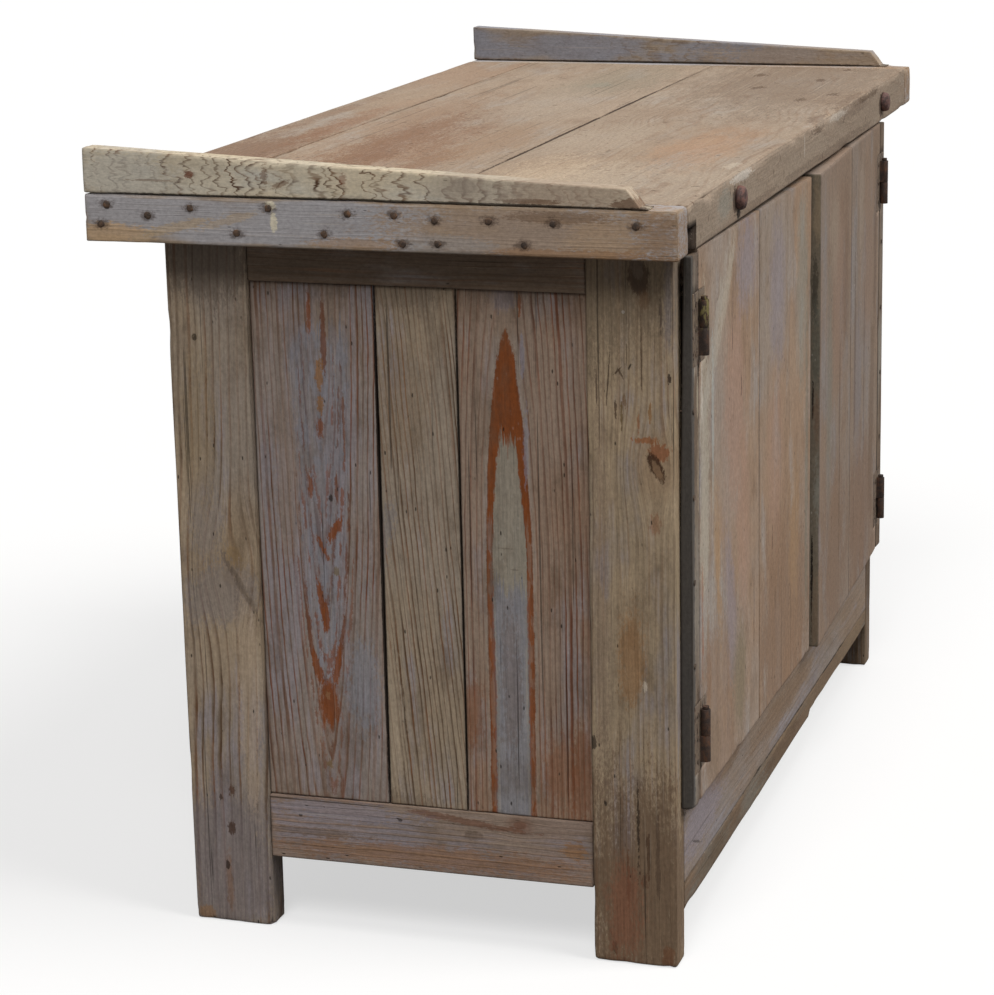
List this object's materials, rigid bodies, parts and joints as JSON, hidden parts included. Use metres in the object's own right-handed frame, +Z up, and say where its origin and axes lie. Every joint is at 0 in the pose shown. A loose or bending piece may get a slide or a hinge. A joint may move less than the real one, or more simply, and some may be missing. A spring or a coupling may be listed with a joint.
{
  "type": "buffet cabinet",
  "caption": "Low weathered pine buffet cabinet: thick plank worktop with nailed end cleats and tapering lips, framed plank ends, two plank doors on iron hinges and a shelf inside.",
  "frame": {"origin": "on the floor under the middle of the whole cabinet's box", "axes": "+X towards the right end seen from the front, +Y towards the back, +Z up"},
  "size_m": [1.292, 0.634, 0.847],
  "materials": {
    "worktop_pine": "bare, worn and scrubbed",
    "grey_painted_pine": "blue-grey paint worn to bare wood",
    "frame_pine": "weathered, traces of grey paint",
    "door_pine": "weathered, thin pinkish-grey paint",
    "inner_pine": "bare and aged",
    "hinge_iron": "rusty",
    "nail_iron": "rusty"
  },
  "bodies": {
    "case": {"back_bottom_rail": "inner_pine", "back_plank_1": "inner_pine", "back_plank_2": "inner_pine", "back_plank_3": "inner_pine", "back_plank_4": "inner_pine", "back_top_rail": "inner_pine", "cleat_nails": "nail_iron", "end_bottom_rail_left": "frame_pine", "end_bottom_rail_right": "frame_pine", "end_lip_left": "grey_painted_pine", "end_lip_right": "grey_painted_pine", "end_plank_back_left": "frame_pine", "end_plank_back_right": "frame_pine", "end_plank_front_left": "frame_pine", "end_plank_front_right": "frame_pine", "end_plank_middle_left": "frame_pine", "end_plank_middle_right": "frame_pine", "end_top_rail_left": "frame_pine", "end_top_rail_right": "frame_pine", "floor_bearer_left": "inner_pine", "floor_bearer_right": "inner_pine", "floor_board_1": "inner_pine", "floor_board_2": "inner_pine", "floor_board_3": "inner_pine", "front_bottom_rail": "frame_pine", "front_bottom_strip": "frame_pine", "front_top_rail": "frame_pine", "hinge_frame_leaves": "hinge_iron", "hinge_lath_left": "frame_pine", "hinge_lath_right": "frame_pine", "hinge_pins": "hinge_iron", "lath_nails": "nail_iron", "leg_back_left": "frame_pine", "leg_back_right": "frame_pine", "leg_front_left": "frame_pine", "leg_front_right": "frame_pine", "shelf_bearer_left": "inner_pine", "shelf_bearer_right": "inner_pine", "shelf_board_1": "inner_pine", "shelf_board_2": "inner_pine", "tie_bolt_nuts": "hinge_iron", "tie_bolts": "hinge_iron", "top_cleat_left": "grey_painted_pine", "top_cleat_right": "grey_painted_pine", "top_plank_back": "worktop_pine", "top_plank_front": "worktop_pine", "top_plank_middle": "worktop_pine"},
    "left_door": {"left_door_high_ledge": "inner_pine", "left_door_hinge_plank": "door_pine", "left_door_low_ledge": "inner_pine", "left_door_meeting_plank": "door_pine", "left_door_nails": "nail_iron", "left_hinge_door_leaves": "hinge_iron"},
    "right_door": {"right_door_high_ledge": "inner_pine", "right_door_hinge_plank": "door_pine", "right_door_low_ledge": "inner_pine", "right_door_meeting_plank": "door_pine", "right_door_nails": "nail_iron", "right_hinge_door_leaves": "hinge_iron"}
  },
  "joints": [
    {"name": "left_door_hinge", "type": "hinge", "parent": "case", "child": "left_door", "pos_m": [-0.5572, -0.311, 0.4555], "axis": [0, 0, -1], "range_deg": [0, 170]},
    {"name": "right_door_hinge", "type": "hinge", "parent": "case", "child": "right_door", "pos_m": [0.4317, -0.311, 0.4555], "axis": [0, 0, 1], "range_deg": [-1.4, 168]}
  ]
}
